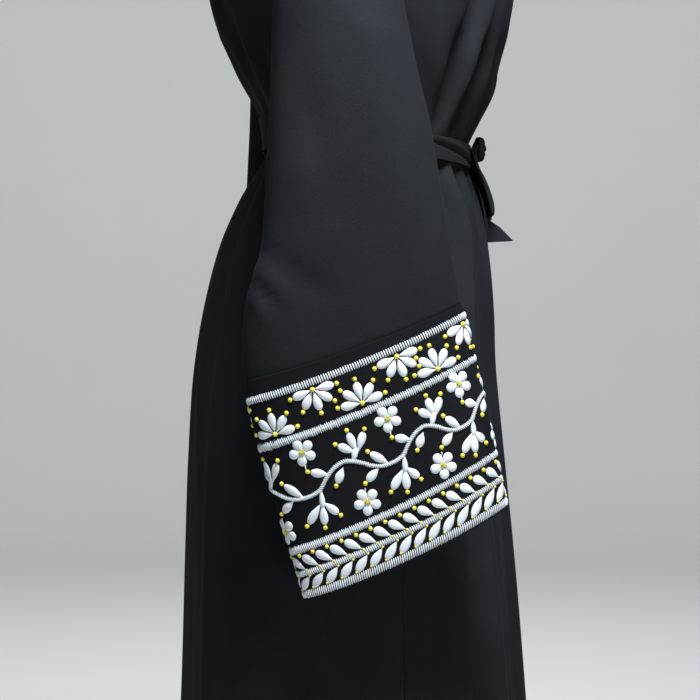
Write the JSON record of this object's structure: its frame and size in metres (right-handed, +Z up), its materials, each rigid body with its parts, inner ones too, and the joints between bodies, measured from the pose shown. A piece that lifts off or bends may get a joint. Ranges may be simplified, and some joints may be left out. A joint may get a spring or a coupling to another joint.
{
  "type": "embroidered robe",
  "caption": "Long black open-hemmed robe in its worn form, gathered by a tie belt with a bow, with flared sleeves and deep embroidered cuffs.",
  "frame": {"origin": "midway between the two points where the shoulder seams meet the neck, on the line of the shoulder seams", "axes": "+Z up, -Y the way the robe faces, +X the wearer's left"},
  "size_m": [0.618, 0.393, 1.4005],
  "materials": {
    "robe_crepe": "matte black crepe with a faint cool sheen",
    "cuff_crepe": "matte black crepe with white and yellow embroidery",
    "belt_crepe": "matte black crepe"
  },
  "bodies": {
    "root": {"back_left": "robe_crepe", "back_right": "robe_crepe", "belt_band": "belt_crepe", "belt_knot": "belt_crepe", "belt_loop_left": "belt_crepe", "belt_loop_right": "belt_crepe", "belt_tail_left": "belt_crepe", "belt_tail_right": "belt_crepe", "cuff_left": "cuff_crepe", "cuff_right": "cuff_crepe", "front_left": "robe_crepe", "front_right": "robe_crepe", "sleeve_left": "robe_crepe", "sleeve_right": "robe_crepe"}
  },
  "joints": []
}
